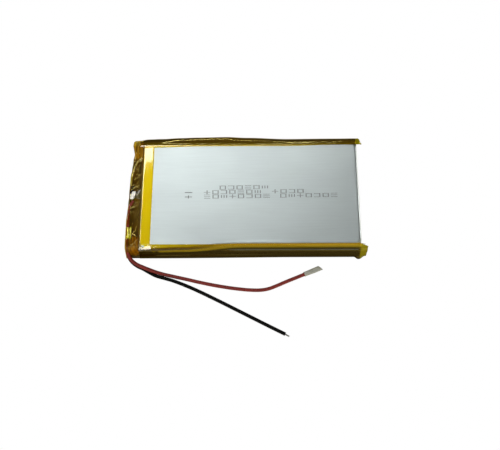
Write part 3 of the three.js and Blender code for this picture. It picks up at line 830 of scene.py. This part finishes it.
def front_section(x):
    """The front tape: swelling out over the shoulder, down the side and under the base."""
    swell = along(x, FRONT_SWELL)
    ledge = max(smoothstep(-43.4, -44.2, x), smoothstep(-40.9, -41.5, x) * smoothstep(-43.4, -42.8, x))
    hang = along(x, FRONT_HANG)
    line = []
    lines = close_line(0.05 * noise.noise(Vector((x / 5, 2.2, 0)))), SWOLLEN_LINE, ledge_line(x)
    for close, swollen, flat in zip(*lines):
        upper = Vector(close).lerp(Vector(swollen), swell)
        line.append(tuple(upper.lerp(Vector(flat), ledge)))
    line += [
        (30.0, 7.0), (30.0, 4.9), (29.8, 4.2), (29.8 + 0.4 * hang, 3.6), (30.02 + 0.9 * hang, 2.7),
        (29.98 + hang, 1.2), (29.7 + hang, 0.35), (28.9, BASE_LAP_Z), (25.2, BASE_LAP_Z),
    ]
    return [tuple(p) for p in smooth_line(line, 4)]


def front_tail(x, y, z):
    """Past the foot, the front tape is cut on a slant, and its lower corner flares out as a small flap."""
    slant = smoothstep(CUP_FOOT_X, FRONT_TAIL_X, x)
    flare = smoothstep(50.6, 52.7, x) * smoothstep(56.4, 52.7, x)
    flare *= smoothstep(2.6, 0.2, z) * smoothstep(28.6, 29.6, y)
    return x - 0.7 * slant * (1 - z / FACE_Z), y + 1.3 * flare - 0.5 * slant, z - 0.06 * slant * z


def add_side_tapes():
    back_xs = steps(CUP_HEAD_X - 1.6, BACK_TAPE_HIGH.x, 200)
    front_xs = steps(CUP_HEAD_X, FRONT_TAIL_X, 200)
    past_foot = CUP_FOOT_X + 0.2
    side_film("back_tape_film", "back_tape", 1, back_xs, back_section, back_tail,
              lambda p: p.x < past_foot or (p.z > 9.6 and p.y > 26.3))
    side_film("front_tape_film", "front_tape", -1, front_xs, front_section, front_tail,
              lambda p: p.x < past_foot or p.y < -28.7)


# ---- Head tape ----

# Where the wrap's outer side stands, by its place along Y.
WRAP_SIDE = [
    (-30, -57.3), (-16, -57.3), (-10, -56.95), (-6, -56.72), (-2, -56.55), (5, -56.55), (9, -56.4),
    (13, -55.9), (19, -55.5), (22, -55.05), (24, -55.0), (27.2, -55.9), (28.6, -55.7), (29.4, -55.1),
    (30.0, -54.0),
]
WRAP_TOP_X = -50.9

# The height of the wrap's outer edge and of its inner rim, by their place along Y.
WRAP_EDGE = [
    (-31.5, 11.0), (-24, 11.15), (-14, 11.4), (-1, 11.1), (2, 10.6), (12, 10.2), (25, 10.3), (31.5, 11.0),
]
WRAP_RIM = [(-31.5, 11.2), (-26, 11.3), (19, 11.3), (26, 11.7), (31.5, 11.9)]
WRAP_END_Y = 31.5
CRUMPLE = 0.14


def crumpled_line(x, heights, count, phase):
    """A line of corners along Y at one x, alternately a little higher and lower than a smooth line."""
    return [(x, y, along(y, heights) + CRUMPLE * math.cos(math.pi * i + phase))
            for i, y in enumerate(steps(WRAP_END_Y, -WRAP_END_Y, count))]


# Lines of corners in the wrap's surface between the cup's shoulder and its outer edge.
RELIEF = [
    crumpled_line(WRAP_TOP_X, WRAP_RIM, 21, 0.0),
    crumpled_line(-57.9, WRAP_EDGE, 18, math.pi),
    [(-53.2, 30, 11.85), (-53.0, 26.5, 11.5), (-52.6, 21.5, 11.2)],
    [(-54.2, 23, 10.6), (-51.8, 22.5, 10.8), (-54.4, 18.6, 10.5), (-55.3, 16, 10.3)],
    [(-52.0, 15.8, 10.75), (-52.4, 13, 10.75), (-53.4, 10.5, 10.5), (-54.2, 7.4, 10.45), (-52.0, 8.5, 10.8)],
    [(-55.1, 4.4, 10.2), (-52.8, 5.6, 10.3), (-53.9, 1.3, 10.65), (-51.9, -1.6, 10.75)],
    [(-52.8, -3.9, 10.75), (-53.8, -6.5, 10.6), (-51.8, -5.3, 10.85)],
    [(-53.8, -10.5, 10.85), (-52.2, -9.5, 10.9), (-53.3, -14, 10.8), (-52.0, -17.5, 10.85),
     (-54.1, -17, 10.9)],
    [(-55.75, -18.6, 10.8), (-55.35, -22.5, 10.75)],
    [(-52.6, -20.5, 10.85), (-52.6, -26.6, 10.8), (-54.0, -27.8, 10.5), (-52.0, -28.5, 10.9)],
]
# The width of a crease's top and of its foot, and how far it stands up.
CREASE_WIDTH, CREASE_FOOT, CREASE_RISE = 0.6, 1.2, 0.25
# Flat-topped creases that catch the key light: a line of places, and the height at its start.
CREASES = [
    ([(-51.3, 17.8), (-52.1, 18.8), (-53.1, 17.6), (-53.7, 16.2), (-54.5, 14.5), (-55.0, 11.8),
      (-55.6, 8.6)], 11.3),
    ([(-55.6, 1.55), (-52.9, 3.3)], 11.1),
    ([(-53.0, -2.35), (-52.2, -1.1), (-51.5, 0.9)], 11.3),
    ([(-54.7, -8.6), (-53.4, -8.1), (-51.6, -7.0)], 11.25),
    ([(-56.3, -19.4), (-55.7, -25.0)], 11.2),
    ([(-54.95, -19.4), (-54.75, -22.1), (-54.85, -25.2)], 11.2),
    ([(-54.0, -22.6), (-52.3, -24.0)], 11.15),
    ([(-53.6, 12.9), (-53.1, 13.1)], 10.95),
]
BRIGHT_FACET = (
    [(-55.4, -0.5), (-53.6, 0.75), (-53.5, -0.2), (-53.5, -1.7), (-54.4, -4.0), (-55.4, -0.5)], 10.95,
)


def crease_sides(places, height, width, sink=0.0):
    """The outline of a strip along a line of places, tilted to catch the light and sunk by so much."""
    left, right = [], []
    for i, place in enumerate(places):
        before, after = Vector(places[max(i - 1, 0)]), Vector(places[min(i + 1, len(places) - 1)])
        run = (after - before).normalized()
        side = Vector((-run.y, run.x)) * width / 2
        left.append(tuple(Vector(place) + side))
        right.append(tuple(Vector(place) - side))
    outline = catch_light(left + right[::-1] + left[:1], height)
    return [(x, y, z - sink) for x, y, z in outline]


class Facets:
    """A surface of flat triangles between given corners, whose listed lines stay edges."""

    def __init__(self, lines):
        places, edges, heights = [], [], []
        for line in lines:
            for i, (x, y, z) in enumerate(line):
                if i:
                    edges.append((len(places) - 1, len(places)))
                places.append(Vector((x, y)))
                heights.append(z)
        points, _, triangles, origins, _, _ = geometry.delaunay_2d_cdt(places, edges, [], 0, 1e-4)
        self.points = []
        for place, origin in zip(points, origins):
            height = heights[origin[0]] if origin else self.crossing(place, places, edges, heights)
            self.points.append((*place, height))
        self.triangles = triangles

    @staticmethod
    def crossing(place, places, edges, heights):
        """The height where lines cross: that of the highest of them."""
        found = []
        for a, b in edges:
            near, share = geometry.intersect_point_line(place, places[a], places[b])
            if 0 <= share <= 1 and (near.to_2d() - place).length < 1e-3:
                found.append(mix(heights[a], heights[b], share))
        return max(found)

    def height(self, x, y, outside):
        """The surface's height at a place, or the height for outside."""
        for a, b, c in self.triangles:
            (ax, ay, az), (bx, by, bz), (cx, cy, cz) = self.points[a], self.points[b], self.points[c]
            area = (bx - ax) * (cy - ay) - (cx - ax) * (by - ay)
            to_b = ((x - ax) * (cy - ay) - (cx - ax) * (y - ay)) / area
            to_c = ((bx - ax) * (y - ay) - (x - ax) * (by - ay)) / area
            if to_b >= -1e-6 and to_c >= -1e-6 and to_b + to_c <= 1 + 1e-6:
                return az + to_b * (bz - az) + to_c * (cz - az)
        return outside


# The wrap closes down to the base over this depth at both ends, at these shares of the depth.
CLOSE_Y, CLOSE_DEPTH = 28.4, 1.6
CLOSE_SHARES = [0.3, 0.5, 0.65, 0.78, 0.88, 0.94, 0.975, 0.992, 1.0]


def wrap_outline(facets, y):
    """The head tape's line round the head end at one place along Y, from its lap on the face to the base."""
    side_x = along(y, WRAP_SIDE)
    lap = [(x, LAP_Z) for x in steps(HEAD_LAP_X, -49.8, 8)]
    lap += [(-50.3, LAP_Z - 0.06), (-50.7, LAP_Z - 0.4)]
    strip = [(x, facets.height(x, y, 11.0)) for x in steps(WRAP_TOP_X - 0.05, side_x + 0.7, 42)]
    top_z = strip[-1][1]
    bend = [(side_x + 0.35, top_z - 0.12), (side_x + 0.1, top_z - 0.45), (side_x, top_z - 0.95)]
    wall = [(side_x, z) for z in steps(top_z - 1.8, 2.2, 8)]
    under = [(side_x + 0.3, 1.0), (side_x + 0.9, 0.35), (-55.6, 0.1)]
    under += [(x, BASE_LAP_Z) for x in steps(-54.5, HEAD_LAP_X, 6)]
    return lap + strip + bend + wall + under


def wrap_rows(facets):
    """Rows of points round the head end, one for each place along Y, closed down to the base at both ends."""
    ends = [CLOSE_Y + CLOSE_DEPTH * share for share in CLOSE_SHARES]
    rows = []
    for y in [-end for end in reversed(ends)] + steps(-CLOSE_Y, CLOSE_Y, 400) + ends:
        past = min(max(abs(y) - CLOSE_Y, 0) / CLOSE_DEPTH, 1)
        share = (1 - past ** 4) ** 0.25
        rows.append([(x, y, BASE_LAP_Z + (z - BASE_LAP_Z) * share) for x, z in wrap_outline(facets, y)])
    return rows


def head_haze_and_painted_light(x, y, z):
    """One layer on the face, two over the board, and many where the ends are folded down, with painted light
    at the outer edge and a painted highlight on the crease tops.
    """
    outer, top = smoothstep(-55.2, -55.9, x), smoothstep(7.5, 9.8, z)
    # Where the painted highlight goes: the crease tops.
    highlight_tops = smoothstep(11.0, 11.15, z) * smoothstep(-54.2, -54.5, x)
    haze_and_painted_light = stain_over(BOARD_LAYERS, [
        (THIN, outer * smoothstep(-5.5, -7.5, y)),
        # Painted light at the outer edge.
        (PAINTED_EDGE_LIGHT, outer * smoothstep(3.0, 6.0, y) * top),
        (AMBER_LAYERS, smoothstep(17.5, 20.5, y)),
        # Painted light at the outer edge of the back end.
        (PAINTED_EDGE_LIGHT, 0.45 * smoothstep(25.5, 28.0, y) * top),
        (BROWN_LAYERS, smoothstep(-23.5, -25.5, y) * (1 - 0.85 * outer)),
        # Painted highlight on the crease tops.
        (PAINTED_CREASE_HIGHLIGHT, highlight_tops * between(-25.0, -19.5, 1.0, y)),
        (THIN, smoothstep(10.9, 11.0, z) * between(-3.5, 1.0, 1.0, y)),
    ])
    streak = 1 + 1.1 * noise.noise(Vector((x / 0.6, y / 4, z / 2)))
    haze_and_painted_light = (haze_and_painted_light[0] * streak, haze_and_painted_light[1] * streak, haze_and_painted_light[2], haze_and_painted_light[3])
    return stain_over(THIN, [(haze_and_painted_light, smoothstep(-50.2, -51.0, x))])


def add_head_tape():
    """The wide tape over the protection board: lapped on the face, creased over the board and the leads."""
    creases = [crease_sides(*crease, CREASE_WIDTH) for crease in CREASES]
    creases += [crease_sides(*crease, CREASE_FOOT, CREASE_RISE) for crease in CREASES]
    rows = wrap_rows(Facets(RELIEF + creases + [catch_light(*BRIGHT_FACET)]))
    points = [p for row in rows for p in row]
    faces = [tuple(reversed(f)) for f in grid_faces(len(rows), len(rows[0]))]
    points, faces = keep_faces(points, faces, lambda p: p.x < CUP_HEAD_X or -29.0 < p.y < 25.1)
    add_film("head_tape_film", "head_tape", points, faces, head_haze_and_painted_light)


# ---- Stage ----

FLOOR_GLOW = 1.0
FLOOR_SHADE = (4.0, 16.0)  # how far from the cell the floor's glow begins and is full
FLOOR_REACH = 3000.0
HALF_LENGTH, HALF_WIDTH = 57.0, 30.0
# The floor's tone where the object reflects it, and where the camera sees it.
WARM, WHITE = (1.0, 0.88, 0.50), (1.0, 1.0, 1.0)
# The studio is pale all round, but dark about the direction that the flat face mirrors into the camera.
DARK_TOWARD = (0.0, 0.49, 0.87)
DARK_SPREAD = (0.40, 0.88)  # the cosine of the angle to that direction where the dark begins and is full
STUDIO_GLOW, DARK_GLOW = 0.28, 0.06
STUDIO_TONE = (1.0, 0.97, 0.88)
# Each softbox's name, place, target, size and power.
SOFTBOXES = [
    ("key", KEY_PLACE, (-300.7, 10.9, -12.4), (1100, 90), 2.68),
    ("fill", (-260, -400, 480), (-20, -20, 0), (300, 600), 0.6),
    ("low", (520, -520, 200), (0, 0, 8), (420, 300), 0.45),
    ("side", (520, 260, 90), (55, 0, 10), (160, 120), 0.35),
]


def add_floor():
    """A white floor that also lights the cell, but not from close beside it.

    The camera sees only its glow. For every other ray, half of the floor's light is its own glow.
    """
    n = new_look("floor")
    ray = n.add("LightPath").outputs["Is Camera Ray"]
    place = n.add("SeparateXYZ", {0: n.place()}).outputs
    beside = [
        n.math("SUBTRACT", n.math("ABSOLUTE", place[axis]), half)
        for axis, half in (("X", HALF_LENGTH), ("Y", HALF_WIDTH))
    ]
    clear_of_cell = n.range(n.math("MAXIMUM", *beside), *FLOOR_SHADE, 0.0, FLOOR_GLOW)
    strength = n.math("MAXIMUM", clear_of_cell, ray)
    glow = n.add("Emission", {"Color": n.blend(ray, WARM, WHITE), "Strength": strength})
    lit = n.add("BsdfDiffuse", {"Color": colour(0.72)})
    look = n.done(n.mix_shaders(n.range(ray, 0.0, 1.0, 0.5, 1.0), lit, glow))
    mesh = bpy.data.meshes.new("floor")
    far = FLOOR_REACH * MM
    mesh.from_pydata([(-far, -far, 0), (far, -far, 0), (far, far, 0), (-far, far, 0)], [], [(0, 1, 2, 3)])
    mesh.materials.append(look)
    floor = bpy.data.objects.new("floor", mesh)
    bpy.context.scene.collection.objects.link(floor)


def add_softbox(name, place, target, size, power):
    data = bpy.data.lights.new(name, "AREA")
    data.shape = "RECTANGLE"
    data.size, data.size_y = (side * MM for side in size)
    data.energy = power
    light = bpy.data.objects.new(name, data)
    bpy.context.scene.collection.objects.link(light)
    light.location = Vector(place) * MM
    light.rotation_euler = (Vector(target) - Vector(place)).to_track_quat("-Z", "Y").to_euler()
    light.visible_camera = False


def add_world():
    """A white backdrop for the camera, and the studio's soft surroundings for everything else."""
    world = bpy.data.worlds.new("studio")
    bpy.context.scene.world = world
    n = Nodes(world, "OutputWorld")
    toward = n.add("TexCoord").outputs["Generated"]
    dot = n.add("VectorMath", {0: toward, 1: DARK_TOWARD}, operation="DOT_PRODUCT")
    strength = n.range(dot.outputs["Value"], *DARK_SPREAD, STUDIO_GLOW, DARK_GLOW)
    surroundings = n.add("Background", {"Color": colour(STUDIO_TONE), "Strength": strength})
    backdrop = n.add("Background", {"Color": colour(WHITE)})
    n.done(n.mix_shaders(n.add("LightPath").outputs["Is Camera Ray"], surroundings, backdrop))


def dress_cad_nodes():
    """Gives the CAD pieces that stay as they are their materials."""
    for look, names in CAD_LOOKS:
        for name in names:
            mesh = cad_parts[name].data
            mesh.materials.clear()
            mesh.materials.append(look)


add_camera()
add_leads()
add_pouch_shell()
add_print()
add_side_tapes()
add_head_tape()
dress_cad_nodes()
add_floor()
for softbox in SOFTBOXES:
    add_softbox(*softbox)
add_world()
bpy.context.scene.view_settings.view_transform = "Standard"
